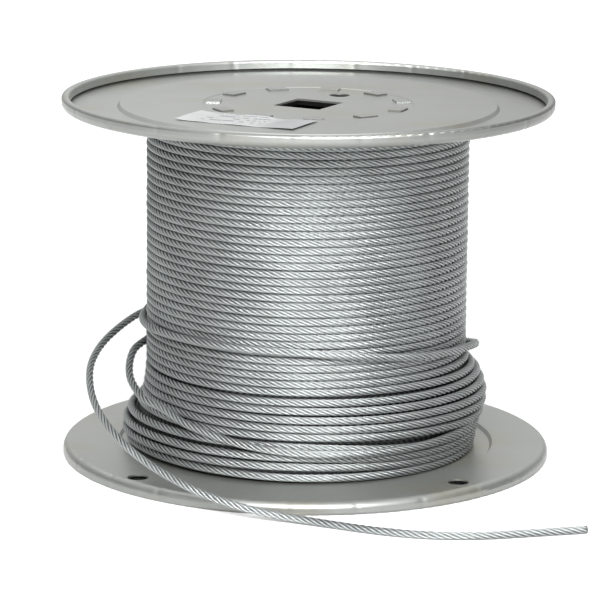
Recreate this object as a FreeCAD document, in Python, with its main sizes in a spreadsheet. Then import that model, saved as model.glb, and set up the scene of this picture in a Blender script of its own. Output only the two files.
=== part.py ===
# Reel of galvanized aircraft cable.
# Millimetres, +Z up.  Origin: centre of the lower flange's rim, on the surface the reel stands on.
# The reel's axis is +Z; the free end of the cable lies toward -Y and +X.
import FreeCAD, Part
import Sketcher
import math
import os

doc = FreeCAD.newDocument("CableReel")
V = FreeCAD.Vector

# ---------------------------------------------------------------- dimensions
sheet = doc.addObject("Spreadsheet::Sheet", "Dims")
DIMS = [
    ("flange_radius", 152.4),       # outside of each flange's rim
    ("reel_height", 226.4),         # rim to rim
    ("rim_height", 8.0),            # edge of the hem to the inner face of the outer annulus
    ("sheet_gauge", 1.0),           # pressed sheet
    ("corner_radius", 4.4),         # outside bend between rim and annulus
    ("fold_radius", 1.6),           # outside bend of the hem
    ("hem_width", 5.0),             # rim wall to the back of the hem
    ("hem_depth", 5.2),             # height of the hem's free edge
    ("panel_radius", 117.0),        # edge of the panel pressed outward
    ("panel_step", 2.0),            # how far the panel stands outward
    ("hub_radius", 65.1),           # edge of the seat the drum stands on
    ("hub_step", 0.6),              # how far the seat is set inward
    ("arbor_side", 32.0),           # square arbor hole, across flats
    ("arbor_wall", 1.0),            # drawn lip round the arbor hole
    ("arbor_lip", 4.0),             # height of the drawn lip, sheet included
    ("pin_radius", 6.4),            # drive pin hole
    ("pin_offset", 41.0),           # drive pin hole's distance from the axis
    ("lead_radius", 6.4),           # lead hole near the lower flange's rim
    ("lead_offset_a", 138.0),       # lead holes' distances from the axis
    ("lead_offset_b", 141.3),
    ("drum_radius", 63.0),          # outside of the drum
    ("drum_wall", 1.0),
    ("tab_count", 11),
    ("tab_width", 12.6),
    ("tab_reach", 8.5),             # from the drum's outside, toward the axis
    ("slot_gap", 0.3),
    ("cable_diameter", 4.76),
    ("turn_count", 44),
    ("pack_radius", 100.2),          # outside of the neat outer turns
    ("pack_gap", 7.0),              # reel's end to the first turn
    ("label_length", 78.0),
    ("label_width", 35.0),
    ("label_gauge", 0.3),
    ("tab_turn", 11.5),             # degrees about +Z, first tab
    ("arbor_turn", 16.5),           # degrees about +Z, first corner of the arbor hole
    ("pin_turn", 61.7),
    ("lead_turn_a", -48.0),
    ("lead_turn_b", -135.5),
]
D = {}
for row, (name, value) in enumerate(DIMS, start=1):
    cell = "A%d" % row
    sheet.set(cell, str(value))
    sheet.setAlias(cell, name)
    D[name] = float(value)
doc.recompute()


class Dim(object):
    """A length with its number and the expression that gives it."""
    def __init__(self, value, text):
        self.value = float(value)
        self.text = text

    def _of(self, other):
        return other if isinstance(other, Dim) else Dim(other, repr(float(other)))

    def __add__(self, other):
        o = self._of(other)
        return Dim(self.value + o.value, "(%s + %s)" % (self.text, o.text))

    def __sub__(self, other):
        o = self._of(other)
        return Dim(self.value - o.value, "(%s - %s)" % (self.text, o.text))

    def __mul__(self, k):
        return Dim(self.value * k, "(%s * %s)" % (self.text, repr(float(k))))


def dim(name):
    return Dim(D[name], "Dims." + name)


def plane_of(body, role):
    for feature in body.Origin.OriginFeatures:
        if feature.Role == role:
            return feature
    raise RuntimeError("no " + role)


def sketch_in(body, role, label, z=0.0, turn=0.0):
    sk = body.newObject("Sketcher::SketchObject", label)
    sk.Label = label
    sk.AttachmentSupport = (plane_of(body, role), [""])
    sk.MapMode = "FlatFace"
    sk.AttachmentOffset = FreeCAD.Placement(V(0, 0, z), FreeCAD.Rotation(V(0, 0, 1), turn))
    return sk


def bind(sk, index, name, d):
    sk.renameConstraint(index, name)
    sk.setExpression("Constraints." + name, d.text)


def rectangle(sk, x0, x1, half, tag):
    """Rectangle from x0 to x1, half either side of the x axis, bound to its dimensions."""
    c = [V(x0.value, -half.value, 0), V(x1.value, -half.value, 0),
         V(x1.value, half.value, 0), V(x0.value, half.value, 0)]
    g = [sk.addGeometry(Part.LineSegment(c[i], c[(i + 1) % 4]), False) for i in range(4)]
    for i in range(4):
        sk.addConstraint(Sketcher.Constraint("Coincident", g[i], 2, g[(i + 1) % 4], 1))
    sk.addConstraint(Sketcher.Constraint("Horizontal", g[0]))
    sk.addConstraint(Sketcher.Constraint("Vertical", g[1]))
    sk.addConstraint(Sketcher.Constraint("Horizontal", g[2]))
    sk.addConstraint(Sketcher.Constraint("Vertical", g[3]))
    k = sk.addConstraint(Sketcher.Constraint("DistanceX", -1, 1, g[0], 1, x0.value))
    bind(sk, k, tag + "_near", x0)
    k = sk.addConstraint(Sketcher.Constraint("DistanceX", -1, 1, g[0], 2, x1.value))
    bind(sk, k, tag + "_far", x1)
    k = sk.addConstraint(Sketcher.Constraint("DistanceY", -1, 1, g[2], 1, half.value))
    bind(sk, k, tag + "_half", half)
    k = sk.addConstraint(Sketcher.Constraint("DistanceY", g[0], 1, -1, 1, half.value))
    bind(sk, k, tag + "_half_low", half)


def circle(sk, x, r, tag):
    g = sk.addGeometry(Part.Circle(V(x.value, 0, 0), V(0, 0, 1), r.value), False)
    sk.addConstraint(Sketcher.Constraint("PointOnObject", g, 3, -1))
    k = sk.addConstraint(Sketcher.Constraint("DistanceX", -1, 1, g, 3, x.value))
    bind(sk, k, tag + "_offset", x)
    k = sk.addConstraint(Sketcher.Constraint("Radius", g, r.value))
    bind(sk, k, tag + "_radius", r)


def through(body, sk, label):
    before = body.Shape.Volume
    cut = body.newObject("PartDesign::Pocket", label)
    cut.Label = label
    cut.Profile = sk
    cut.Type = "ThroughAll"
    cut.Midplane = True
    doc.recompute()
    if not body.Shape.Volume < before - 0.5:
        raise RuntimeError(label + " cut nothing")
    return cut


def bend_in(sk, a, b, c):
    """Adds the arc under 180 degrees from a to b about c; returns its index and which end is first."""
    swap = (a - c).cross(b - c).z < 0
    p, q = (b, a) if swap else (a, b)
    start = math.atan2(p.y - c.y, p.x - c.x)
    stop = math.atan2(q.y - c.y, q.x - c.x)
    while stop <= start:
        stop += 2.0 * math.pi
    arc = Part.ArcOfCircle(Part.Circle(c, V(0, 0, 1), (a - c).Length), start, stop)
    g = sk.addGeometry(arc, False)
    return (g, 2, 1) if swap else (g, 1, 2)


def section(sk, pts):
    """Closed section.  Each entry: (x, y) as Dim for the vertex, then None for a straight
    run to the next vertex or (cx, cy, radius) as Dim for a bend about that centre."""
    n = len(pts)
    geo = []
    for i in range(n):
        (x0, y0), bend = pts[i]
        (x1, y1), _ = pts[(i + 1) % n]
        a, b = V(x0.value, y0.value, 0), V(x1.value, y1.value, 0)
        if bend is None:
            geo.append((sk.addGeometry(Part.LineSegment(a, b), False), 1, 2))
        else:
            c = V(bend[0].value, bend[1].value, 0)
            geo.append(bend_in(sk, a, b, c))
    for i in range(n):
        g, _, last = geo[i]
        h, first, _ = geo[(i + 1) % n]
        sk.addConstraint(Sketcher.Constraint("Coincident", g, last, h, first))
    for i in range(n):
        (x, y), _ = pts[i]
        g, first, _ = geo[i]
        if x.value > 1e-9:
            k = sk.addConstraint(Sketcher.Constraint("DistanceX", -1, 1, g, first, x.value))
            bind(sk, k, "at%02d_r" % i, x)
        else:
            sk.addConstraint(Sketcher.Constraint("PointOnObject", g, first, -2))
        if y.value > 1e-9:
            k = sk.addConstraint(Sketcher.Constraint("DistanceY", -1, 1, g, first, y.value))
            bind(sk, k, "at%02d_z" % i, y)
        else:
            sk.addConstraint(Sketcher.Constraint("PointOnObject", g, first, -1))
        if pts[i][1] is not None:
            r = pts[i][1][2]
            k = sk.addConstraint(Sketcher.Constraint("Radius", g, r.value))
            bind(sk, k, "bend%02d" % i, r)


# ---------------------------------------------------------------- flanges
# Built with the hem's edge on z = 0 and the drum's side up.
R = dim("flange_radius")
G = dim("sheet_gauge")
CR = dim("corner_radius")
FR = dim("fold_radius")
face = dim("rim_height")                     # inner face of the outer annulus
panel = face - dim("panel_step")             # inner face of the panel
hub = panel + dim("hub_step")                # inner face of the drum's seat
hem = R - dim("hem_width")
fold_out = R - FR
fold_in = hem + FR
zero = Dim(0.0, "0")
pr = dim("panel_radius")
hr = dim("hub_radius")

FLANGE_SECTION = [
    ((zero, hub), None),
    ((hr, hub), None),
    ((hr + 0.8, panel), None),
    ((pr - 0.8, panel), None),
    ((pr + 0.8, face), None),
    ((R - CR, face), (R - CR, face - CR, CR)),
    ((R, face - CR), None),
    ((R, FR), (fold_out, FR, FR)),
    ((fold_out, zero), None),
    ((fold_in, zero), (fold_in, FR, FR)),
    ((hem, FR), None),
    ((hem, dim("hem_depth")), None),
    ((hem + G, dim("hem_depth")), None),
    ((hem + G, FR), (fold_in, FR, FR - G)),
    ((fold_in, G), None),
    ((fold_out, G), (fold_out, FR, FR - G)),
    ((R - G, FR), None),
    ((R - G, face - CR), (R - CR, face - CR, CR - G)),
    ((R - CR, face - G), None),
    ((pr + 1.2, face - G), None),
    ((pr - 0.4, panel - G), None),
    ((hr + 0.4, panel - G), None),
    ((hr - 0.4, hub - G), None),
    ((zero, hub - G), None),
]


def make_flange(node, label, local_turns):
    """local_turns: degrees in the flange's own frame for the slots, arbor hole, pin hole, lead holes."""
    slot_turn, arbor_turn, pin_turn, lead_turns = local_turns
    body = doc.addObject("PartDesign::Body", node)
    body.Label = label
    sk = sketch_in(body, "XZ_Plane", node + "_section")
    section(sk, FLANGE_SECTION)
    doc.recompute()
    rev = body.newObject("PartDesign::Revolution", node + "_pressing")
    rev.Label = label + " pressing"
    rev.Profile = sk
    rev.ReferenceAxis = (sk, ["V_Axis"])
    rev.Angle = 360.0
    doc.recompute()

    # lip drawn inward round the square arbor hole
    lip_sk = sketch_in(body, "XY_Plane", node + "_lip_outline", z=(hub - G).value, turn=arbor_turn + 45.0)
    lip_sk.setExpression("AttachmentOffset.Base.z", (hub - G).text)
    lip_half = dim("arbor_side") * 0.5 + dim("arbor_wall")
    side_half = dim("arbor_side") * 0.5
    square(lip_sk, lip_half, "lip")
    lip = body.newObject("PartDesign::Pad", node + "_lip")
    lip.Label = label + " arbor lip"
    lip.Profile = lip_sk
    lip.Length = D["arbor_lip"]
    lip.setExpression("Length", "Dims.arbor_lip")
    doc.recompute()
    hole_sk = sketch_in(body, "XY_Plane", node + "_arbor_outline", turn=arbor_turn + 45.0)
    square(hole_sk, side_half, "arbor")
    through(body, hole_sk, node + "_arbor_hole")

    # round drive pin hole
    pin_sk = sketch_in(body, "XY_Plane", node + "_pin_outline", turn=pin_turn)
    circle(pin_sk, dim("pin_offset"), dim("pin_radius"), "pin")
    through(body, pin_sk, node + "_pin_hole")

    # lead holes near the rim
    for i, (turn, offset) in enumerate(lead_turns):
        lead_sk = sketch_in(body, "XY_Plane", "%s_lead_outline_%d" % (node, i + 1), turn=turn)
        circle(lead_sk, dim(offset), dim("lead_radius"), "lead")
        through(body, lead_sk, "%s_lead_hole_%d" % (node, i + 1))

    # slots for the drum's tabs
    slot_sk = sketch_in(body, "XY_Plane", node + "_slot_outline", turn=slot_turn)
    rectangle(slot_sk, dim("drum_radius") - dim("drum_wall") - dim("slot_gap") * 2.0,
              dim("drum_radius") + dim("slot_gap") * 2.0,
              dim("tab_width") * 0.5 + dim("slot_gap"), "slot")
    slot = through(body, slot_sk, node + "_slot")
    ring = body.newObject("PartDesign::PolarPattern", node + "_slots")
    ring.Label = label + " tab slots"
    ring.Originals = [slot]
    ring.Axis = (plane_of(body, "Z_Axis"), [""])
    ring.Angle = 360.0
    ring.Occurrences = int(D["tab_count"])
    ring.setExpression("Occurrences", "Dims.tab_count")
    body.Tip = ring
    doc.recompute()
    return body


def square(sk, half, tag):
    c = [V(half.value, -half.value, 0), V(half.value, half.value, 0),
         V(-half.value, half.value, 0), V(-half.value, -half.value, 0)]
    g = [sk.addGeometry(Part.LineSegment(c[i], c[(i + 1) % 4]), False) for i in range(4)]
    for i in range(4):
        sk.addConstraint(Sketcher.Constraint("Coincident", g[i], 2, g[(i + 1) % 4], 1))
    sk.addConstraint(Sketcher.Constraint("Vertical", g[0]))
    sk.addConstraint(Sketcher.Constraint("Horizontal", g[1]))
    sk.addConstraint(Sketcher.Constraint("Vertical", g[2]))
    sk.addConstraint(Sketcher.Constraint("Horizontal", g[3]))
    for name, args in (("right", (-1, 1, g[0], 1)), ("left", (g[2], 1, -1, 1))):
        k = sk.addConstraint(Sketcher.Constraint("DistanceX", args[0], args[1], args[2], args[3], half.value))
        bind(sk, k, tag + "_" + name, half)
    for name, args in (("up", (-1, 1, g[1], 1)), ("down", (g[0], 1, -1, 1))):
        k = sk.addConstraint(Sketcher.Constraint("DistanceY", args[0], args[1], args[2], args[3], half.value))
        bind(sk, k, tag + "_" + name, half)


bottom = make_flange("bottom_flange", "Lower flange",
                     (D["tab_turn"], D["arbor_turn"], D["pin_turn"], ((D["lead_turn_a"], "lead_offset_a"), (D["lead_turn_b"], "lead_offset_b"))))
bottom.Placement = FreeCAD.Placement(V(0, 0, 0), FreeCAD.Rotation(V(0, 0, 1), 0))

# the upper flange is the pressing turned over about X, so its own angles run the other way
top = make_flange("top_flange", "Upper flange",
                  (-D["tab_turn"], -D["arbor_turn"], -D["pin_turn"], ()))
top.Placement = FreeCAD.Placement(V(0, 0, D["reel_height"]), FreeCAD.Rotation(V(1, 0, 0), 180))
top.setExpression("Placement.Base.z", "Dims.reel_height")

# ---------------------------------------------------------------- drum
H = dim("reel_height")
drum = doc.addObject("PartDesign::Body", "drum")
drum.Label = "Drum"
tube_sk = sketch_in(drum, "XY_Plane", "drum_ring", z=hub.value)
tube_sk.setExpression("AttachmentOffset.Base.z", hub.text)
for tag, r in (("outer", dim("drum_radius")), ("inner", dim("drum_radius") - dim("drum_wall"))):
    g = tube_sk.addGeometry(Part.Circle(V(0, 0, 0), V(0, 0, 1), r.value), False)
    tube_sk.addConstraint(Sketcher.Constraint("Coincident", g, 3, -1, 1))
    k = tube_sk.addConstraint(Sketcher.Constraint("Radius", g, r.value))
    bind(tube_sk, k, "drum_" + tag, r)
tube = drum.newObject("PartDesign::Pad", "drum_shell")
tube.Label = "Drum shell"
tube.Profile = tube_sk
tube_len = H - hub * 2.0
tube.Length = tube_len.value
tube.setExpression("Length", tube_len.text)
doc.recompute()

# each tab stands through its slot and is folded flat toward the axis
inner = dim("drum_radius") - dim("drum_wall")
outer = dim("drum_radius")
reach = outer - dim("tab_reach")
for end, z_seat, z_out, z_top in (("lower", hub, hub - G, hub - G - G),
                                  ("upper", H - hub, H - hub + G, H - hub + G + G)):
    tab_sk = sketch_in(drum, "XZ_Plane", "tab_outline_" + end)
    section(tab_sk, [
        ((inner, z_seat), None),
        ((outer, z_seat), None),
        ((outer, z_top), None),
        ((reach, z_top), None),
        ((reach, z_out), None),
        ((inner, z_out), None),
    ])
    tab = drum.newObject("PartDesign::Pad", "tab_" + end)
    tab.Label = "Folded tab, " + end + " end"
    tab.Profile = tab_sk
    tab.Midplane = True
    tab.Length = D["tab_width"]
    tab.setExpression("Length", "Dims.tab_width")
    doc.recompute()
    ring = drum.newObject("PartDesign::PolarPattern", "tabs_" + end)
    ring.Label = "Folded tabs, " + end + " end"
    ring.Originals = [tab]
    ring.Axis = (plane_of(drum, "Z_Axis"), [""])
    ring.Angle = 360.0
    ring.Occurrences = int(D["tab_count"])
    ring.setExpression("Occurrences", "Dims.tab_count")
    drum.Tip = ring
    doc.recompute()
drum.Placement = FreeCAD.Placement(V(0, 0, 0), FreeCAD.Rotation(V(0, 0, 1), D["tab_turn"]))

# ---------------------------------------------------------------- wound cable
# One turned solid with its bore on the drum.  Each ridge is one turn of the outer layer; the lower
# turns have slackened and stand out further.
n_turns = int(D["turn_count"])
cab = D["cable_diameter"]
z_low = D["pack_gap"]
z_high = D["reel_height"] - D["pack_gap"]
pitch = (z_high - z_low) / n_turns
slack = {0: 3.0, 1: 6.0, 2: 9.0, 3: 10.0, 4: 10.0, 5: 9.0, 6: 8.0, 7: 9.0, 8: 9.5, 9: 9.0, 10: 8.0,
         11: 6.0, 12: 4.0, 13: 2.5, 14: 1.0}
crest = [D["pack_radius"] + slack.get(i, 0.0) for i in range(n_turns)]
wound = doc.addObject("PartDesign::Body", "wound_cable")
wound.Label = "Wound cable"
wound_sk = sketch_in(wound, "XZ_Plane", "wound_section")
bore = D["drum_radius"]
valley = []
for i in range(n_turns + 1):
    z = z_low + i * pitch
    a = crest[max(i - 1, 0)]
    b = crest[min(i, n_turns - 1)]
    r = min(a, b) - cab * 0.38 if 0 < i < n_turns else crest[min(i, n_turns - 1)] - cab * 0.45
    valley.append(V(r, z, 0))
outline = []
g0 = wound_sk.addGeometry(Part.LineSegment(V(bore, z_high, 0), V(bore, z_low, 0)), False)
g1 = wound_sk.addGeometry(Part.LineSegment(V(bore, z_low, 0), valley[0]), False)
outline = [(g0, 1, 2), (g1, 1, 2)]
for i in range(n_turns):
    m = V(crest[i], z_low + (i + 0.5) * pitch, 0)
    outline.append(bend_in(wound_sk, valley[i], valley[i + 1], Part.Arc(valley[i], m, valley[i + 1]).toShape().Curve.Center))
g = wound_sk.addGeometry(Part.LineSegment(valley[n_turns], V(bore, z_high, 0)), False)
outline.append((g, 1, 2))
for i in range(len(outline)):
    a = outline[i]
    b = outline[(i + 1) % len(outline)]
    wound_sk.addConstraint(Sketcher.Constraint("Coincident", a[0], a[2], b[0], b[1]))
wound_sk.addConstraint(Sketcher.Constraint("Vertical", g0))
k = wound_sk.addConstraint(Sketcher.Constraint("DistanceX", -1, 1, g0, 1, bore))
bind(wound_sk, k, "bore_radius", dim("drum_radius"))
k = wound_sk.addConstraint(Sketcher.Constraint("DistanceY", -1, 1, g0, 2, z_low))
bind(wound_sk, k, "first_turn", dim("pack_gap"))
k = wound_sk.addConstraint(Sketcher.Constraint("DistanceY", -1, 1, g0, 1, z_high))
bind(wound_sk, k, "last_turn", H - dim("pack_gap"))
doc.recompute()
turned = wound.newObject("PartDesign::Revolution", "wound_turns")
turned.Label = "Turned pack of cable"
turned.Profile = wound_sk
turned.ReferenceAxis = (wound_sk, ["V_Axis"])
turned.Angle = 360.0
doc.recompute()
wound.Placement = FreeCAD.Placement(V(0, 0, 0), FreeCAD.Rotation(V(0, 0, 1), 0))

# ---------------------------------------------------------------- free end of the cable
# Leaves the pack behind its -X side, swings out over the lower flange's rim and lies on the floor.
FREE_END = [
    (-87.5, 48.5, 83.4), (-101.6, 27.0, 83.9), (-113.9, 3.0, 80.8), (-126.5, -22.0, 73.8),
    (-132.2, -48.0, 66.9), (-132.0, -66.0, 60.2), (-129.1, -82.0, 52.5), (-123.0, -96.0, 44.6),
    (-114.6, -108.5, 37.5), (-104.5, -120.0, 30.6), (-92.4, -131.0, 24.6), (-79.4, -141.0, 19.6),
    (-64.9, -150.5, 14.6), (-46.6, -158.0, 9.6), (-27.0, -163.0, 5.3), (-3.4, -168.5, 2.8),
    (19.6, -179.0, 2.43), (41.6, -189.6, 2.42), (63.5, -196.6, 2.42), (85.4, -199.1, 2.42),
    (107.5, -196.9, 2.42), (129.4, -191.3, 2.42), (147.7, -186.9, 2.42), (163.6, -182.7, 2.42),
]


def rounded_path(points):
    pts = [V(*p) for p in points]
    edges = []
    start = pts[0]
    radii = []
    for i in range(1, len(pts) - 1):
        a, b, c = pts[i - 1], pts[i], pts[i + 1]
        u, w = a - b, c - b
        lu, lw = u.Length, w.Length
        u.normalize()
        w.normalize()
        turn = math.pi - math.acos(max(-1.0, min(1.0, u.dot(w))))
        cutback = 0.45 * min(lu, lw)
        radius = cutback / math.tan(turn / 2.0)
        radii.append(round(radius, 1))
        p, q = b + u * cutback, b + w * cutback
        bis = u + w
        bis.normalize()
        centre = b + bis * (radius / math.cos(turn / 2.0))
        m = centre - bis * radius
        if (p - start).Length > 1e-6:
            edges.append(Part.LineSegment(start, p).toShape())
        edges.append(Part.Arc(p, m, q).toShape())
        start = q
    edges.append(Part.LineSegment(start, pts[-1]).toShape())
    return Part.Wire(edges), radii


path, radii = rounded_path(FREE_END)
print("free end bend radii", min(radii), radii)
first_dir = V(*FREE_END[1]) - V(*FREE_END[0])
ring = Part.Wire([Part.Circle(V(*FREE_END[0]), first_dir, cab / 2.0).toShape()])
tube_shape = path.makePipeShell([ring], True, False)
print("free end length", round(path.Length, 1), "volume ratio",
      round(tube_shape.Volume / (math.pi * (cab / 2.0) ** 2 * path.Length), 4), tube_shape.ShapeType)
if tube_shape.ShapeType != "Solid":
    tube_shape = tube_shape.Solids[0]
free_end = doc.addObject("Part::Feature", "cable_end")
free_end.Label = "Free end of the cable"
free_end.Shape = tube_shape
free_end.Placement = FreeCAD.Placement(V(0, 0, 0), FreeCAD.Rotation(V(0, 0, 1), 0))

# ---------------------------------------------------------------- paper label on the upper flange
label = doc.addObject("Part::Box", "label")
label.Label = "Paper label"
label.Length = D["label_length"]
label.Width = D["label_width"]
label.Height = D["label_gauge"]
label.setExpression("Length", "Dims.label_length")
label.setExpression("Width", "Dims.label_width")
label.setExpression("Height", "Dims.label_gauge")
label_turn = -25.2
rot = FreeCAD.Rotation(V(0, 0, 1), label_turn)
corner = V(-37.0, -70.4, 0) - rot.multVec(V(D["label_length"] / 2.0, D["label_width"] / 2.0, 0))
label.Placement = FreeCAD.Placement(V(corner.x, corner.y, (H - hub + G + G).value), rot)
doc.recompute()

# ---------------------------------------------------------------- checks and export
for obj in doc.Objects:
    if "Invalid" in obj.State or "Error" in obj.State:
        raise RuntimeError("%s: %s" % (obj.Name, obj.State))

os.makedirs("parts", exist_ok=True)
nodes = {"top_flange": top, "bottom_flange": bottom, "drum": drum,
         "wound_cable": wound, "cable_end": free_end, "label": label}
for node, obj in nodes.items():
    shape = obj.Shape
    if shape.isNull() or not shape.isValid():
        raise RuntimeError(node + " has no valid shape")
    if len(shape.Solids) != 1:
        raise RuntimeError("%s has %d solids" % (node, len(shape.Solids)))
    shape.exportStep("parts/%s.step" % node)
    b = shape.BoundBox
    print("%-14s vol %.1f cm3  box %.1f..%.1f  %.1f..%.1f  %.2f..%.2f  faces %d" % (
        node, shape.Volume / 1000.0, b.XMin, b.XMax, b.YMin, b.YMax, b.ZMin, b.ZMax, len(shape.Faces)))
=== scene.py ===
import bpy, math
import numpy as np
from mathutils import Vector, Matrix


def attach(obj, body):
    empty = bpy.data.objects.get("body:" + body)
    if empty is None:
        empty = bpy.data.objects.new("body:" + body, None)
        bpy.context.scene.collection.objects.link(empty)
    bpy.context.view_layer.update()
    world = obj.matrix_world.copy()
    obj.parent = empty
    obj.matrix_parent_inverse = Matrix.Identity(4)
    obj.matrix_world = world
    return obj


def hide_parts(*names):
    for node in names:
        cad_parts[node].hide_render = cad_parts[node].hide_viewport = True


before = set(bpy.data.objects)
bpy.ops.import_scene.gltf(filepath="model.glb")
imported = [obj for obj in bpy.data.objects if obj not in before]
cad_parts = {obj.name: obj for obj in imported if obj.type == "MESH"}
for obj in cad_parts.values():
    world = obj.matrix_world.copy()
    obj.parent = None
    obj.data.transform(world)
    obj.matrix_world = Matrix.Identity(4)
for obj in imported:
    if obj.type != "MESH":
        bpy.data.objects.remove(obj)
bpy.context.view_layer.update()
MM = 0.001
H = 226.4
scene = bpy.context.scene
scene.view_settings.view_transform = "Standard"
scene.view_settings.look = "None"

# ------------------------------------------------------------------ camera
yaw, pitch, roll = -0.00201, 0.216187, 0.009283
fwd = Vector((math.sin(yaw) * math.cos(pitch), math.cos(yaw) * math.cos(pitch), -math.sin(pitch)))
right = Vector((math.cos(yaw), -math.sin(yaw), 0.0))
up = right.cross(fwd)
r2 = math.cos(roll) * right + math.sin(roll) * up
u2 = -math.sin(roll) * right + math.cos(roll) * up
cam_data = bpy.data.cameras.new("camera")
cam_data.sensor_width = 36.0
cam_data.lens = 201.87
cam_data.clip_start, cam_data.clip_end = 0.05, 50.0
cam = bpy.data.objects.new("camera", cam_data)
scene.collection.objects.link(cam)
m = Matrix((r2, u2, -fwd)).transposed().to_4x4()
m.translation = Vector((0.0, -2.0574, 0.54852))
cam.matrix_world = m
scene.camera = cam


# ------------------------------------------------------------------ shader helpers
def nodes_of(name):
    mat = bpy.data.materials.new(name)
    mat.use_nodes = True
    nt = mat.node_tree
    nt.nodes.clear()
    out = nt.nodes.new("ShaderNodeOutputMaterial")
    bsdf = nt.nodes.new("ShaderNodeBsdfPrincipled")
    nt.links.new(bsdf.outputs[0], out.inputs[0])
    return mat, nt, bsdf


def mathn(nt, op, a, b=None, clamp=False):
    n = nt.nodes.new("ShaderNodeMath")
    n.operation = op
    n.use_clamp = clamp
    for i, v in enumerate((a, b)):
        if v is None:
            continue
        if isinstance(v, (int, float)):
            n.inputs[i].default_value = v
        else:
            nt.links.new(v, n.inputs[i])
    return n.outputs[0]


def ramp(nt, fac, stops):
    n = nt.nodes.new("ShaderNodeValToRGB")
    el = n.color_ramp.elements
    while len(el) > 1:
        el.remove(el[-1])
    el[0].position, el[0].color = stops[0][0], (*stops[0][1], 1.0)
    for p, c in stops[1:]:
        e = el.new(p)
        e.color = (*c, 1.0)
    nt.links.new(fac, n.inputs[0])
    return n.outputs[0]


def noise(nt, vec, scale, detail=3.0, rough=0.5):
    n = nt.nodes.new("ShaderNodeTexNoise")
    n.inputs["Scale"].default_value = scale
    n.inputs["Detail"].default_value = detail
    n.inputs["Roughness"].default_value = rough
    nt.links.new(vec, n.inputs["Vector"])
    return n.outputs[0]


def coords(nt):
    return nt.nodes.new("ShaderNodeTexCoord").outputs["Object"]


def stretch(nt, vec, s):
    n = nt.nodes.new("ShaderNodeMapping")
    n.inputs["Scale"].default_value = s
    nt.links.new(vec, n.inputs["Vector"])
    return n.outputs[0]


def bump(nt, height, strength, distance, normal=None):
    n = nt.nodes.new("ShaderNodeBump")
    n.inputs["Strength"].default_value = strength
    n.inputs["Distance"].default_value = distance
    nt.links.new(height, n.inputs["Height"])
    if normal is not None:
        nt.links.new(normal, n.inputs["Normal"])
    return n.outputs[0]


def grey(v, tint=(1.0, 1.0, 1.0)):
    return (v * tint[0], v * tint[1], v * tint[2])


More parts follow.
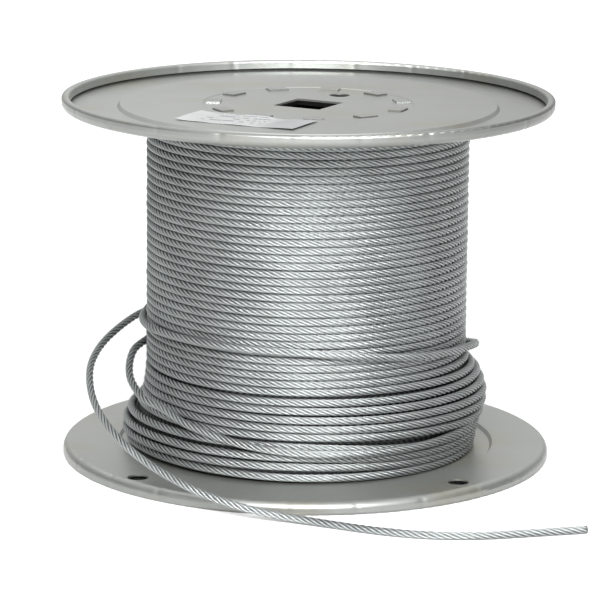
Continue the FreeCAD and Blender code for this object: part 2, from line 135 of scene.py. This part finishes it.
# galvanised sheet of the flanges and drum
def sheet_material(name, level, rough, shade_slope=0.0, rim_shade=0.0):
    mat, nt, b = nodes_of(name)
    co = coords(nt)
    tint = (0.985, 1.012, 0.975)
    big = noise(nt, co, 9.0, 3.0, 0.55)
    fine = noise(nt, co, 160.0, 3.0, 0.6)
    mix = mathn(nt, "ADD", mathn(nt, "MULTIPLY", big, 0.65), mathn(nt, "MULTIPLY", fine, 0.35))
    col = ramp(nt, mix, [(0.30, grey(level * 0.90, tint)), (0.52, grey(level, tint)), (0.75, grey(level * 1.07, tint))])
    sep = nt.nodes.new("ShaderNodeSeparateXYZ")
    nt.links.new(co, sep.inputs[0])
    # warm stain patches, and painted shade: the colour is darkened along X and on the rim's outer skin
    warm = ramp(nt, noise(nt, stretch(nt, co, (14.0, 22.0, 22.0)), 1.0, 4.0, 0.6), [(0.50, (1.0, 1.0, 1.0)), (0.72, (0.97, 0.925, 0.83))])
    tinted = nt.nodes.new("ShaderNodeMix")
    tinted.data_type = "RGBA"
    tinted.blend_type = "MULTIPLY"
    tinted.inputs[0].default_value = 1.0
    nt.links.new(col, tinted.inputs[6])
    nt.links.new(warm, tinted.inputs[7])
    fade = nt.nodes.new("ShaderNodeVectorMath")
    fade.operation = "SCALE"
    nt.links.new(tinted.outputs[2], fade.inputs[0])
    reach = mathn(nt, "SQRT", mathn(nt, "ADD", mathn(nt, "MULTIPLY", sep.outputs[0], sep.outputs[0]),
                                    mathn(nt, "MULTIPLY", sep.outputs[1], sep.outputs[1])))
    skin = mathn(nt, "MULTIPLY", mathn(nt, "SUBTRACT", reach, 0.1497), 500.0, clamp=True)
    keep = mathn(nt, "SUBTRACT", 1.0, mathn(nt, "MULTIPLY", skin, rim_shade))
    nt.links.new(mathn(nt, "MULTIPLY", keep, mathn(nt, "ADD", mathn(nt, "MULTIPLY", sep.outputs[0], shade_slope), 1.0)), fade.inputs[3])
    col = fade.outputs[0]
    # painted shade: the enclosed inside, below the ends, is coloured near-black as if unlit
    inner = mathn(nt, "LESS_THAN", mathn(nt, "SQRT", mathn(nt, "ADD", mathn(nt, "MULTIPLY", sep.outputs[0], sep.outputs[0]),
                                                          mathn(nt, "MULTIPLY", sep.outputs[1], sep.outputs[1]))), 0.0635)
    inside_shade_mask = mathn(nt, "MULTIPLY", mathn(nt, "GREATER_THAN", sep.outputs[2], 0.0068), mathn(nt, "LESS_THAN", sep.outputs[2], 0.2196))
    inside_shade_mask = mathn(nt, "MULTIPLY", inside_shade_mask, inner)
    inside_shade = nt.nodes.new("ShaderNodeMix")
    inside_shade.data_type = "RGBA"
    inside_shade.inputs[7].default_value = (0.022, 0.023, 0.021, 1.0)
    nt.links.new(inside_shade_mask, inside_shade.inputs[0])
    nt.links.new(col, inside_shade.inputs[6])
    nt.links.new(inside_shade.outputs[2], b.inputs["Base Color"])
    b.inputs["Metallic"].default_value = 0.86
    rg = mathn(nt, "ADD", mathn(nt, "MULTIPLY", mix, 0.16), rough - 0.08)
    nt.links.new(rg, b.inputs["Roughness"])
    # light press and handling marks
    scr = noise(nt, stretch(nt, co, (30.0, 420.0, 90.0)), 1.0, 2.0, 0.5)
    wav = noise(nt, co, 26.0, 2.0, 0.5)
    n1 = bump(nt, wav, 0.10, 0.0012)
    n2 = bump(nt, scr, 0.10, 0.00025, n1)
    # puckers pressed in the hem, by angle about the axis
    ang = mathn(nt, "ARCTAN2", sep.outputs[1], sep.outputs[0])
    rad = mathn(nt, "SQRT", mathn(nt, "ADD", mathn(nt, "MULTIPLY", sep.outputs[0], sep.outputs[0]),
                                  mathn(nt, "MULTIPLY", sep.outputs[1], sep.outputs[1])))
    rim = mathn(nt, "GREATER_THAN", rad, 0.1470)
    cut = mathn(nt, "POWER", mathn(nt, "ABSOLUTE", mathn(nt, "COSINE", mathn(nt, "MULTIPLY", ang, 11.5))), 60.0)
    pucker = mathn(nt, "MULTIPLY", mathn(nt, "MULTIPLY", cut, rim), -1.0)
    n3 = bump(nt, pucker, 0.4, 0.0008, n2)
    nt.links.new(n3, b.inputs["Normal"])
    return mat


# stranded cable: U is turns of lay along the cable, V is turns round the cable's own axis
def cable_material(name, level, groove_shade, rough):
    mat, nt, b = nodes_of(name)
    co = coords(nt)
    uv = nt.nodes.new("ShaderNodeUVMap")
    uv.uv_map = "lay"
    sep = nt.nodes.new("ShaderNodeSeparateXYZ")
    nt.links.new(uv.outputs[0], sep.inputs[0])
    u, v = sep.outputs[0], sep.outputs[1]
    # crown: 1 on each strand's crest, 0 in the groove
    phase = mathn(nt, "MULTIPLY", mathn(nt, "SUBTRACT", v, u), 6.0 * 2.0 * math.pi)
    crown = mathn(nt, "ADD", mathn(nt, "MULTIPLY", mathn(nt, "COSINE", phase), 0.5), 0.5)
    patch = noise(nt, co, 34.0, 3.0, 0.6)
    speck = noise(nt, co, 900.0, 2.0, 0.6)
    # painted shade: the colour runs near-black in the grooves between strands and lighter on the crests
    tone = mathn(nt, "ADD", mathn(nt, "MULTIPLY", crown, 0.62),
                 mathn(nt, "ADD", mathn(nt, "MULTIPLY", patch, 0.30), mathn(nt, "MULTIPLY", speck, 0.20)))
    tint = (0.945, 1.0, 0.995)
    col = ramp(nt, tone, [(0.16, grey(groove_shade, tint)), (0.50, grey(level * 0.72, tint)), (0.88, grey(level * 1.12, tint))])
    nt.links.new(col, b.inputs["Base Color"])
    b.inputs["Metallic"].default_value = 0.88
    nt.links.new(mathn(nt, "ADD", mathn(nt, "MULTIPLY", speck, 0.16), rough - 0.08), b.inputs["Roughness"])
    # wires lie along the cable's axis on the crowns
    wire = mathn(nt, "SINE", mathn(nt, "MULTIPLY", v, 46.0 * 2.0 * math.pi))
    n1 = bump(nt, wire, 0.5, 0.00009)
    nt.links.new(bump(nt, speck, 0.08, 0.0002, n1), b.inputs["Normal"])
    return mat


# painted shade: both flanges are darkened on the rim's outer skin, and the top flange also grows darker towards +X
mat_sheet = sheet_material("galvanised_sheet", 0.36, 0.41, 0.0, 0.24)
mat_sheet_top = sheet_material("galvanised_sheet_top", 0.345, 0.38, -0.95, 0.40)
mat_drum = sheet_material("galvanised_drum", 0.29, 0.27)
mat_cable = cable_material("cable_strand", 0.385, 0.018, 0.32)
# painted shade: a dark copy of the cable finish for turns and body that sit in shade behind the outer turns
mat_cable_shaded = cable_material("cable_shadowed", 0.10, 0.01, 0.5)


# ------------------------------------------------------------------ cable geometry
DIA = 4.76
RS = DIA / 6.0
RC = 2.0 * RS
LAY = 27.6
SEG = 4


def profile():
    out = []
    for k in range(6 * SEG):
        a = 2 * math.pi * k / (6 * SEG)
        d = (a + math.pi / 6) % (math.pi / 3) - math.pi / 6
        r = RC * math.cos(d) + math.sqrt(max(RS * RS - (RC * math.sin(d)) ** 2, 0.0))
        out.append((a, r))
    return np.array(out)


PROFILE = profile()


def resample(points, step):
    P = np.asarray(points, float)
    d = np.r_[0, np.cumsum(np.linalg.norm(np.diff(P, axis=0), axis=1))]
    n = max(4, int(round(d[-1] / step)))
    s = np.linspace(0, d[-1], n + 1)
    return np.stack([np.interp(s, d, P[:, i]) for i in range(3)], 1), s


def strand_tube(name, P, s, material, twist0=0.0, close_ends=True, swell=1.045):
    """Six-strand cable along P (mm), already close together; s is the running length (mm)."""
    T = np.gradient(P, axis=0)
    T /= np.linalg.norm(T, axis=1)[:, None]
    N = np.zeros_like(P)
    ref = np.array([0.0, 0.0, 1.0]) if abs(T[0][2]) < 0.9 else np.array([1.0, 0.0, 0.0])
    n = ref - T[0] * ref.dot(T[0])
    N[0] = n / np.linalg.norm(n)
    for i in range(1, len(P)):
        n = N[i - 1] - T[i] * N[i - 1].dot(T[i])
        N[i] = n / np.linalg.norm(n)
    B = np.cross(T, N)
    a = PROFILE[:, 0][None, :] + (2 * math.pi * s / LAY + twist0)[:, None]
    rr = PROFILE[:, 1][None, :] * swell
    V = P[:, None, :] + (np.cos(a) * rr)[..., None] * N[:, None, :] + (np.sin(a) * rr)[..., None] * B[:, None, :]
    m_, k = V.shape[:2]
    verts = V.reshape(-1, 3) * MM
    i = np.arange(m_ - 1)[:, None]
    j = np.arange(k)[None, :]
    jn = (j + 1) % k
    quads = np.stack([i * k + j, i * k + jn, (i + 1) * k + jn, (i + 1) * k + j], -1).reshape(-1, 4)
    faces = quads.tolist()
    uu = s / LAY
    vv = np.arange(k + 1) / k
    iu = np.broadcast_to(i, (m_ - 1, k))
    jv = np.broadcast_to(j, (m_ - 1, k))
    UV = np.stack([
        np.stack([uu[iu], vv[jv] + uu[iu]], -1), np.stack([uu[iu], vv[jv + 1] + uu[iu]], -1),
        np.stack([uu[iu + 1], vv[jv + 1] + uu[iu + 1]], -1), np.stack([uu[iu + 1], vv[jv] + uu[iu + 1]], -1)], 2).reshape(-1, 2)
    if close_ends:
        faces.append(list(range(k - 1, -1, -1)))
        faces.append([(m_ - 1) * k + q for q in range(k)])
        UV = np.vstack([UV, np.zeros((2 * k, 2))])
    me = bpy.data.meshes.new(name)
    me.from_pydata(verts.tolist(), [], faces)
    lay = me.uv_layers.new(name="lay")
    lay.data.foreach_set("uv", UV.astype(np.float32).ravel())
    me.polygons.foreach_set("use_smooth", np.ones(len(faces), bool))
    if close_ends:
        me.polygons[len(faces) - 1].use_smooth = False
        me.polygons[len(faces) - 2].use_smooth = False
    me.materials.append(material)
    me.update()
    ob = bpy.data.objects.new(name, me)
    scene.collection.objects.link(ob)
    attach(ob, "root")
    return ob


# ------------------------------------------------------------------ free end
ROUTE = [
    (-0.0875, 0.0485, 0.0834), (-0.1016, 0.0270, 0.0839), (-0.1139, 0.0030, 0.0808), (-0.1265, -0.0220, 0.0738),
    (-0.1322, -0.0480, 0.0669), (-0.1320, -0.0660, 0.0602), (-0.1291, -0.0820, 0.0525), (-0.1230, -0.0960, 0.0446),
    (-0.1146, -0.1085, 0.0375), (-0.1045, -0.1200, 0.0306), (-0.0924, -0.1310, 0.0246), (-0.0794, -0.1410, 0.0196),
    (-0.0649, -0.1505, 0.0146), (-0.0466, -0.1580, 0.0096), (-0.0270, -0.1630, 0.0053), (-0.0034, -0.1685, 0.0028),
    (0.0196, -0.1790, 0.00243), (0.0416, -0.1896, 0.00242), (0.0635, -0.1966, 0.00242), (0.0854, -0.1991, 0.00242),
    (0.1075, -0.1969, 0.00242), (0.1294, -0.1913, 0.00242), (0.1477, -0.1869, 0.00242), (0.1636, -0.1827, 0.00242),
]
curve = bpy.data.curves.new("free_end_line", "CURVE")
curve.dimensions = "3D"
curve.resolution_u = 12
spline = curve.splines.new("NURBS")
spline.points.add(len(ROUTE) - 1)
for pt, c in zip(spline.points, ROUTE):
    pt.co = (*c, 1.0)
spline.order_u = 3
spline.use_endpoint_u = True
line = bpy.data.objects.new("free_end_line", curve)
scene.collection.objects.link(line)
bpy.context.view_layer.update()
line_mesh = bpy.data.meshes.new_from_object(line.evaluated_get(bpy.context.evaluated_depsgraph_get()))
centre = np.array([v.co[:] for v in line_mesh.vertices]) / MM
bpy.data.meshes.remove(line_mesh)
bpy.data.objects.remove(line)
bpy.data.curves.remove(curve)
fe_P, fe_s = resample(centre, 1.9)
free_end = strand_tube("cable_end_strands", fe_P, fe_s, mat_cable, swell=1.0)
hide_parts("cable_end")

# ------------------------------------------------------------------ wound turns
rng = np.random.default_rng(7)
R0 = 97.8            # centre radius of the outer layer
STEP = LAY / 12.0
Z_TOP = H - 7.0 - 2.6
PITCH = 4.80


def smooth_noise(n, knots, amp):
    x = rng.normal(0, 1, knots + 1)
    t = np.linspace(0, knots, n)
    i = np.minimum(t.astype(int), knots - 1)
    f = t - i
    f = f * f * (3 - 2 * f)
    return amp * (x[i] * (1 - f) + x[i + 1] * f)


# neat turns, one helix going down; it runs back to front on the -X side
z_neat_end = 59.0
n_turn = (Z_TOP - z_neat_end) / PITCH
total = n_turn * 2 * math.pi
m_pts = int(n_turn * 280)
th = np.linspace(0, total, m_pts)
ang0 = math.radians(120.0)
zz = Z_TOP - PITCH * th / (2 * math.pi) + smooth_noise(m_pts, int(n_turn * 3), 0.10)
zz[:280] = np.maximum(zz[:280], 0)
rr = R0 + smooth_noise(m_pts, int(n_turn * 3), 0.14)
# the last turns ease outward on the +X side, toward the slack ones
ease = np.maximum(np.cos(ang0 + th + math.radians(5.0)), 0.0) ** 4
last = np.where(th > total - 1.5 * math.pi, 1.0, np.where(th > total - 3.5 * math.pi, 0.35, 0.0))
rr = rr + 5.6 * ease * last
zz = zz - 1.2 * ease * last
P = np.stack([rr * np.cos(ang0 + th), rr * np.sin(ang0 + th), zz], 1)
P, s = resample(P, STEP)
parts = 4
cuts = np.linspace(0, len(P) - 1, parts + 1).astype(int)
first = None
for q in range(parts):
    a, b = cuts[q], cuts[q + 1] + 1
    ob = strand_tube("turns_%d" % (q + 1), P[a:b], s[a:b], mat_cable, close_ends=(q in (0, parts - 1)))
    if first is None:
        first = ob
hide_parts("wound_cable")


def periodic(knots, n):
    """knots: (angle deg, radius, z).  Smooth closed curve through them."""
    k = sorted(knots)
    a = np.array([x[0] for x in k], float)
    A = np.r_[a[-2:] - 360, a, a[:2] + 360]
    out = []
    q = np.linspace(a[0], a[0] + 360, n)
    for c in (1, 2):
        v = np.array([x[c] for x in k], float)
        W = np.r_[v[-2:], v, v[:2]]
        # Catmull-Rom through uneven knots (finite-difference tangents)
        mt = np.gradient(W, A)
        i = np.clip(np.searchsorted(A, q, side="right") - 1, 0, len(A) - 2)
        h = A[i + 1] - A[i]
        t = (q - A[i]) / h
        out.append((2 * t**3 - 3 * t**2 + 1) * W[i] + (t**3 - 2 * t**2 + t) * h * mt[i]
                   + (-2 * t**3 + 3 * t**2) * W[i + 1] + (t**3 - t**2) * h * mt[i + 1])
    qa = np.radians(q)
    return np.stack([out[0] * np.cos(qa), out[0] * np.sin(qa), out[1]], 1)


def through(points, n):
    """Smooth open curve through (x, y, z) points."""
    W = np.asarray(points, float)
    A = np.r_[0, np.cumsum(np.sqrt(np.linalg.norm(np.diff(W, axis=0), axis=1)))]
    mt = np.gradient(W, A, axis=0)
    q = np.linspace(0, A[-1], n)
    i = np.clip(np.searchsorted(A, q, side="right") - 1, 0, len(A) - 2)
    h = (A[i + 1] - A[i])[:, None]
    t = ((q - A[i]) / (A[i + 1] - A[i]))[:, None]
    return ((2 * t**3 - 3 * t**2 + 1) * W[i] + (t**3 - 2 * t**2 + t) * h * mt[i]
            + (-2 * t**3 + 3 * t**2) * W[i + 1] + (t**3 - t**2) * h * mt[i + 1])


# slack turns low on the pack: left, front-left, front, front-right, right, back
# each: (z and radius) at 180, 225, 270, 315, 0, 90 degrees
LOOSE = [
    ((98.2, 56.2), (98.4, 55.5), (98.6, 55.0), (101.8, 54.2), (107.2, 54.0), (97.6, 57.0)),
    ((98.6, 51.3), (99.4, 50.6), (100.5, 50.2), (104.6, 49.2), (109.8, 48.5), (97.4, 52.0)),
    ((99.2, 46.4), (100.6, 45.6), (102.0, 44.8), (106.2, 43.8), (111.4, 42.6), (97.2, 47.0)),
    ((100.2, 41.4), (101.8, 40.6), (103.0, 39.6), (106.8, 38.4), (111.2, 36.6), (97.2, 42.0)),
    ((103.2, 36.2), (103.4, 35.6), (103.0, 34.6), (106.2, 32.6), (109.4, 29.6), (97.2, 36.5)),
    ((109.2, 30.2), (105.8, 29.4), (102.6, 28.4), (104.5, 23.6), (107.2, 23.8), (97.2, 31.0)),
    ((112.2, 23.8), (107.8, 23.0), (103.2, 21.8), (103.4, 18.2), (105.8, 18.6), (97.2, 25.6)),
    ((112.5, 17.9), (108.6, 17.1), (103.6, 16.4), (103.0, 13.6), (105.0, 13.7), (97.2, 19.5)),
    ((110.2, 12.3), (106.6, 11.3), (103.2, 9.6), (103.4, 8.9), (104.0, 9.0), (97.4, 12.6)),
]
AX = (180.0, 225.0, 270.0, 315.0, 360.0, 450.0)
for i, row in enumerate(LOOSE):
    kn = [(a, r, z) for a, (r, z) in zip(AX, row)] + [(495.0, row[5][0], row[5][1])]
    P = periodic(kn, 900)
    P, s = resample(P, STEP)
    s = s * (round(s[-1] / (LAY / 6)) * (LAY / 6) / s[-1])
    strand_tube("slack_turn_%d" % (i + 1), P, s, mat_cable, twist0=i * 0.7, close_ends=False)

# turns lying just inside and between the slack ones
for i, row in enumerate(LOOSE):
    kn = [(a, max(r - 3.6, 96.4), max(z - 2.5, 9.5)) for a, (r, z) in zip(AX, row)]
    kn.append((495.0, kn[5][1], kn[5][2]))
    P = periodic(kn, 900)
    P, s = resample(P, STEP * 1.5)
    s = s * (round(s[-1] / (LAY / 6)) * (LAY / 6) / s[-1])
    # painted shade: these turns take the dark shaded cable finish, so the gaps between slack turns read dark
    strand_tube("under_turn_%d" % (i + 1), P, s, mat_cable_shaded, twist0=i * 0.4, close_ends=False)


# body of the pack behind the slack turns
back = [periodic([(a, 95.4, 61.5) for a in AX] + [(495.0, 95.4, 61.5)], 240)]
for row in LOOSE:
    kn = [(a, max(r - 4.4, 95.2), z - 1.0) for a, (r, z) in zip(AX, row)]
    back.append(periodic(kn + [(495.0, kn[5][1], kn[5][2])], 240))
back.append(periodic([(a, 95.2, 7.7) for a in AX] + [(495.0, 95.2, 7.7)], 240))
V, F, UV = [], [], []
for ring in back:
    V += [tuple(float(c) * MM for c in q) for q in ring[:-1]]
nb = len(back[0]) - 1
for j in range(len(back) - 1):
    for k in range(nb):
        kn_ = (k + 1) % nb
        F.append((j * nb + k, (j + 1) * nb + k, (j + 1) * nb + kn_, j * nb + kn_))
        UV += [(k / 10.0, j * 0.3), (k / 10.0, j * 0.3 + 0.3), (k / 10.0 + 0.1, j * 0.3 + 0.3), (k / 10.0 + 0.1, j * 0.3)]
me = bpy.data.meshes.new("pack_low_body")
me.from_pydata(V, [], F)
me.uv_layers.new(name="lay").data.foreach_set("uv", np.array(UV, np.float32).ravel())
me.polygons.foreach_set("use_smooth", np.ones(len(F), bool))
# painted shade: the body takes the dark shaded cable finish
me.materials.append(mat_cable_shaded)
me.update()
low_body = bpy.data.objects.new("pack_low_body", me)
scene.collection.objects.link(low_body)
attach(low_body, "root")


def cyl(r, deg, z):
    return (r * math.cos(math.radians(deg)), r * math.sin(math.radians(deg)), z)


# the turn that rides over the neat layer and stands off the pack on both sides
P = through([cyl(96.5, 128, 88.5), cyl(97.4, 145, 89.5), cyl(99.6, 164, 89.0), cyl(102.0, 181, 87.0), cyl(102.7, 192, 86.4),
             cyl(102.0, 204, 86.4), cyl(102.0, 227, 87.4), cyl(102.0, 247, 87.5), cyl(102.0, 268, 86.7), cyl(102.2, 285, 84.0),
             cyl(102.4, 304, 80.5), cyl(102.6, 315, 78.8), cyl(103.0, 330, 76.6), cyl(104.6, 345, 74.4), cyl(106.2, 358, 71.0),
             cyl(105.4, 370, 66.8), cyl(101.5, 386, 64.0), cyl(97.0, 404, 62.5)], 700)
P, s = resample(P, STEP)
strand_tube("riding_turn", P, s, mat_cable, twist0=0.3)

# the wound length that runs up to where the free end leaves the pack
P = through([cyl(95.0, 92, 80.6), cyl(96.6, 108, 81.5), cyl(98.4, 124, 82.4), cyl(99.6, 138, 83.1), (-87.5, 48.5, 83.4)], 160)
P, s = resample(P, STEP)
strand_tube("cable_lead_in", P, s, mat_cable, swell=1.0)

# the turn that sags off the -X side and crosses the slack turns in front
P = through([cyl(96.0, 146, 70.0), cyl(99.5, 162, 68.8), (-101.0, 15.0, 66.9), (-107.8, 0.0, 64.1), (-110.1, -14.0, 58.2),
             (-108.9, -28.0, 52.4), (-104.8, -40.0, 48.2), (-98.9, -52.0, 44.6), (-88.0, -63.0, 42.1), (-73.6, -78.5, 36.6),
             (-58.6, -89.0, 33.0), (-39.4, -99.0, 29.4), (-14.0, -106.6, 26.8), (12.0, -107.4, 25.4), (38.0, -100.4, 24.6),
             (62.0, -87.0, 24.4), (82.0, -68.0, 24.8), (96.5, -44.0, 25.6), (104.0, -16.0, 26.4), (102.0, 14.0, 26.6),
             cyl(98.5, 30, 26.0), cyl(95.5, 50, 25.0)], 900)
P, s = resample(P, STEP)
strand_tube("sagging_turn", P, s, mat_cable, twist0=1.1)


# body of the pack behind the outer layer, with the layers' turns on its ends
def lathe(name, outline, segs, material):
    V, F, UV = [], [], []
    n = len(outline)
    L = np.r_[0, np.cumsum(np.linalg.norm(np.diff(np.array(outline), axis=0), axis=1))]
    for k in range(segs):
        a = 2 * math.pi * k / segs
        for r, z in outline:
            V.append((r * math.cos(a) * MM, r * math.sin(a) * MM, z * MM))
    for k in range(segs):
        kn = (k + 1) % segs
        for j in range(n - 1):
            F.append((k * n + j, kn * n + j, kn * n + j + 1, k * n + j + 1))
            u0, u1 = k * 22.0 / segs, (k + 1) * 22.0 / segs
            v0, v1 = L[j] / 15.0, L[j + 1] / 15.0
            UV += [(u0, v0), (u1, v0), (u1, v1), (u0, v1)]
    me = bpy.data.meshes.new(name)
    me.from_pydata(V, [], F)
    me.uv_layers.new(name="lay").data.foreach_set("uv", np.array(UV, np.float32).ravel())
    me.polygons.foreach_set("use_smooth", np.ones(len(F), bool))
    me.materials.append(material)
    me.update()
    ob = bpy.data.objects.new(name, me)
    scene.collection.objects.link(ob)
    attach(ob, "root")
    return ob


def scallops(a, b, count, depth, per=5):
    a, b = np.array(a, float), np.array(b, float)
    d = (b - a) / count
    nrm = np.array([d[1], -d[0]]) / np.linalg.norm(d)
    out = []
    for i in range(count):
        for k in range(per):
            t = k / per
            out.append(tuple(a + d * (i + t) + nrm * depth * math.sin(math.pi * t)))
    return out


core_outline = (scallops((63.3, 7.6), (95.2, 7.6), 7, 1.4) + scallops((95.2, 7.6), (95.2, H - 7.6), 44, 1.2)
                + scallops((95.2, H - 7.6), (63.3, H - 7.6), 7, 1.4) + [(63.3, H - 7.6), (63.3, 7.6)])
# painted shade: the core takes the dark shaded cable finish
lathe("pack_core", core_outline, 120, mat_cable_shaded)

# ------------------------------------------------------------------ paper label
W, D_ = 78.0, 35.0
nx, ny = 78, 35
c0, turn = (-37.0, -70.4), math.radians(-25.2)
ca, sa = math.cos(turn), math.sin(turn)
V, F, UV = [], [], []
tabs = [math.radians(11.5 + 360.0 * k / 11) for k in range(11)]


def ground(x, y):
    """Height of what the paper lies on: the panel, the drum's seat and the folded tabs."""
    r = math.hypot(x, y)
    z = H - 5.0 if r > 65.3 else H - 5.6
    for t in tabs:
        lx, ly = x * math.cos(t) + y * math.sin(t), -x * math.sin(t) + y * math.cos(t)
        dx = max(54.0 - lx, lx - 63.6, 0.0)
        dy = max(abs(ly) - 6.6, 0.0)
        dist = math.hypot(dx, dy)
        z = max(z, H - 4.55 - max(0.0, dist - 0.3) * 0.12)
    return z


for layer in (0, 1):
    for j in range(ny + 1):
        for i in range(nx + 1):
            u, v = i / nx, j / ny
            px, py = (u - 0.5) * W, (v - 0.5) * D_
            x, y = c0[0] + ca * px - sa * py, c0[1] + sa * px + ca * py
            z = ground(x, y)
            lift = 0.8 * max(0.0, (u - 0.66) / 0.34) ** 2 * (1.0 - 0.6 * v)
            lift += 1.1 * max(0.0, (0.14 - u) / 0.14) ** 2
            lift += 0.25 * math.sin(u * 9.0 + v * 3.0) ** 2
            V.append((x * MM, y * MM, (z + 0.12 + lift + 0.16 * layer) * MM))
n1 = (nx + 1) * (ny + 1)
for layer in (0, 1):
    for j in range(ny):
        for i in range(nx):
            a = layer * n1 + j * (nx + 1) + i
            q = (a, a + 1, a + nx + 2, a + nx + 1)
            F.append(q if layer else q[::-1])
            cs = [(i / nx, j / ny), ((i + 1) / nx, j / ny), ((i + 1) / nx, (j + 1) / ny), (i / nx, (j + 1) / ny)]
            UV += cs if layer else cs[::-1]
edge = [j * (nx + 1) for j in range(ny + 1)], [j * (nx + 1) + nx for j in range(ny + 1)], list(range(nx + 1)), [ny * (nx + 1) + i for i in range(nx + 1)]
for k, e in enumerate(edge):
    for a, b in zip(e[:-1], e[1:]):
        q = (a, b, b + n1, a + n1)
        F.append(q if k in (1, 2) else q[::-1])
        UV += [(0.01, 0.01)] * 4
me = bpy.data.meshes.new("label_paper")
me.from_pydata(V, [], F)
me.uv_layers.new(name="print").data.foreach_set("uv", np.array(UV, np.float32).ravel())
me.polygons.foreach_set("use_smooth", np.ones(len(F), bool))
mat_label, nt, b = nodes_of("label_paper")
uvn = nt.nodes.new("ShaderNodeUVMap")
uvn.uv_map = "print"
sep = nt.nodes.new("ShaderNodeSeparateXYZ")
nt.links.new(uvn.outputs[0], sep.inputs[0])
U_, V_ = sep.outputs[0], sep.outputs[1]
# plain printed bars in rows, no letters
row_ = mathn(nt, "FRACT", mathn(nt, "MULTIPLY", V_, 5.0))
in_row = mathn(nt, "MULTIPLY", mathn(nt, "GREATER_THAN", row_, 0.34), mathn(nt, "LESS_THAN", row_, 0.66))
dash = noise(nt, stretch(nt, uvn.outputs[0], (34.0, 5.0, 1.0)), 1.0, 0.0, 0.5)
ink = mathn(nt, "MULTIPLY", in_row, mathn(nt, "GREATER_THAN", dash, 0.50))
for lo, hi, src in ((0.16, 0.68, U_), (0.12, 0.90, V_)):
    ink = mathn(nt, "MULTIPLY", ink, mathn(nt, "MULTIPLY", mathn(nt, "GREATER_THAN", src, lo), mathn(nt, "LESS_THAN", src, hi)))
paper = noise(nt, coords(nt), 60.0, 3.0, 0.5)
# the paper's colour is darker towards its right end
right_end_dimming = mathn(nt, "MULTIPLY", mathn(nt, "MULTIPLY", mathn(nt, "SUBTRACT", U_, 0.66), 9.0, clamp=True), 0.16)
tone = mathn(nt, "SUBTRACT", mathn(nt, "ADD", mathn(nt, "MULTIPLY", paper, 0.2), 0.74), mathn(nt, "MULTIPLY", ink, 0.42))
tone = mathn(nt, "SUBTRACT", tone, right_end_dimming)
nt.links.new(ramp(nt, tone, [(0.0, (0.05, 0.05, 0.055)), (0.45, (0.115, 0.12, 0.125)), (0.85, (0.315, 0.32, 0.32))]), b.inputs["Base Color"])
b.inputs["Roughness"].default_value = 0.62
nt.links.new(bump(nt, paper, 0.12, 0.0004), b.inputs["Normal"])
me.materials.append(mat_label)
me.update()
label = bpy.data.objects.new("label_paper_sheet", me)
scene.collection.objects.link(label)
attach(label, "root")
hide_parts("label")


# ------------------------------------------------------------------ CAD nodes' finish
def dress(node, mat):
    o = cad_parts[node]
    o.data.materials.clear()
    o.data.materials.append(mat)


# painted shade: the CAD pack takes the dark shaded cable finish
dress("wound_cable", mat_cable_shaded)
dress("cable_end", mat_cable)
dress("label", mat_label)
dress("top_flange", mat_sheet_top)
dress("bottom_flange", mat_sheet)
dress("drum", mat_drum)

# ------------------------------------------------------------------ floor and light
me = bpy.data.meshes.new("floor")
S = 6.0
me.from_pydata([(-S, -S, 0), (S, -S, 0), (S, S, 0), (-S, S, 0)], [], [(0, 1, 2, 3)])
mat_floor, nt, b = nodes_of("floor_white")
co = coords(nt)
far = nt.nodes.new("ShaderNodeVectorMath")
far.operation = "LENGTH"
nt.links.new(co, far.inputs[0])
fl = mathn(nt, "ADD", mathn(nt, "MULTIPLY", noise(nt, co, 2.0, 2.0, 0.5), 0.04), mathn(nt, "MULTIPLY", far.outputs["Value"], 1.1))
nt.links.new(ramp(nt, fl, [(0.20, (0.74, 0.74, 0.74)), (0.95, (0.94, 0.94, 0.94))]), b.inputs["Base Color"])
b.inputs["Roughness"].default_value = 0.9
me.materials.append(mat_floor)
floor = bpy.data.objects.new("floor", me)
scene.collection.objects.link(floor)

world = bpy.data.worlds.new("studio")
scene.world = world
world.use_nodes = True
wt = world.node_tree
bg = wt.nodes["Background"]
bg.inputs[0].default_value = (1.0, 1.0, 1.0, 1.0)
sky = wt.nodes.new("ShaderNodeTexCoord").outputs["Generated"]


def lobe(direction, power, gain):
    """A broad soft source round one direction."""
    n = wt.nodes.new("ShaderNodeVectorMath")
    n.operation = "DOT_PRODUCT"
    wt.links.new(sky, n.inputs[0])
    n.inputs[1].default_value = Vector(direction).normalized()
    return mathn(wt, "MULTIPLY", mathn(wt, "POWER", mathn(wt, "MAXIMUM", n.outputs["Value"], 0.0), power), gain)


light = mathn(wt, "ADD", lobe((0.02, -0.84, 0.54), 4.0, 2.1), lobe((-0.10, 1.0, 0.12), 1.6, 0.60))
light = mathn(wt, "ADD", light, lobe((0.0, 0.0, 1.0), 1.8, 1.0))
light = mathn(wt, "ADD", light, lobe((0.0, -1.0, 0.02), 4.0, 0.25))
wt.links.new(mathn(wt, "ADD", light, 0.13), bg.inputs[1])


def area(name, loc, target, size, power):
    d = bpy.data.lights.new(name, "AREA")
    d.shape = "RECTANGLE"
    d.size, d.size_y = size
    d.energy = power
    o = bpy.data.objects.new(name, d)
    scene.collection.objects.link(o)
    o.location = loc
    o.rotation_mode = "QUATERNION"
    o.rotation_quaternion = (Vector(target) - Vector(loc)).to_track_quat("-Z", "Y")
    return o


area("front_box", (0.08, -2.50, 1.66), (0.0, 0.0, 0.10), (1.7, 1.1), 158.0)
area("top_box", (-0.5, 0.5, 2.2), (0.0, 0.0, 0.1), (1.6, 1.6), 6.0)
